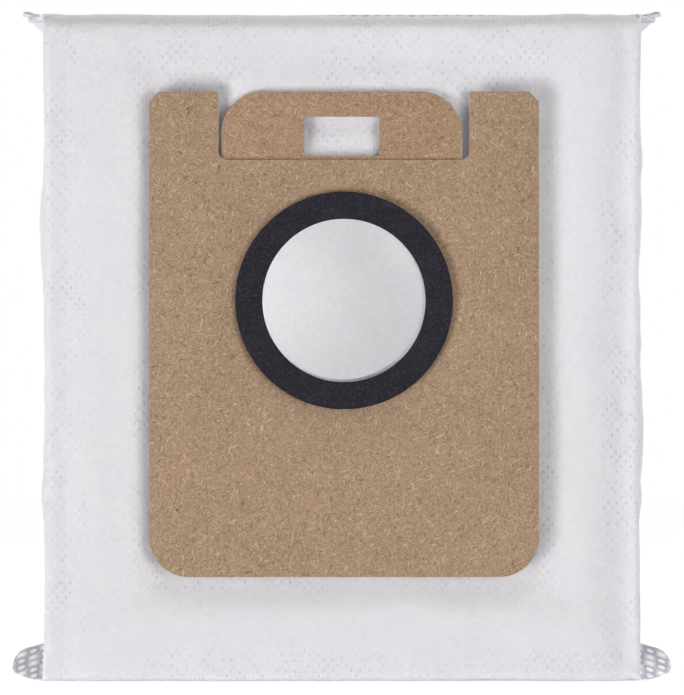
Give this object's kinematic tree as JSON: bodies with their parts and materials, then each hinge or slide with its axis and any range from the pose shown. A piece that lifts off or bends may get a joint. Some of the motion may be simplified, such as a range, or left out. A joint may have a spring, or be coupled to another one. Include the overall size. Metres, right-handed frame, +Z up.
{
  "type": "vacuum dust bag",
  "caption": "Gusseted nonwoven dust bag with a kraft card collar, a black foam seal round its inlet and a pull-up card shutter that closes it.",
  "frame": {"origin": "middle of the collar's lower edge, on which the collar stands in the station's holder", "axes": "+Z up along the collar, towards the shutter's tab; the collar and its inlet face -Y; +X to the right seen from the front"},
  "size_m": [0.1822, 0.0614, 0.1844],
  "materials": {
    "filter_cloth": "matte",
    "kraft_card": "matte",
    "kraft_core": "matte",
    "shutter_kraft": "matte",
    "black_foam": "matte"
  },
  "bodies": {
    "bag": {"filter_bag": "filter_cloth", "back_card": "kraft_card", "middle_card": "kraft_core", "front_card": "kraft_card", "foam_seal": "black_foam"},
    "shutter": {"shutter_card": "shutter_kraft"}
  },
  "joints": [
    {"name": "shutter_slide", "type": "slide", "parent": "bag", "child": "shutter", "axis": [0, 0, 1], "range_m": [0, 0.0475]}
  ]
}
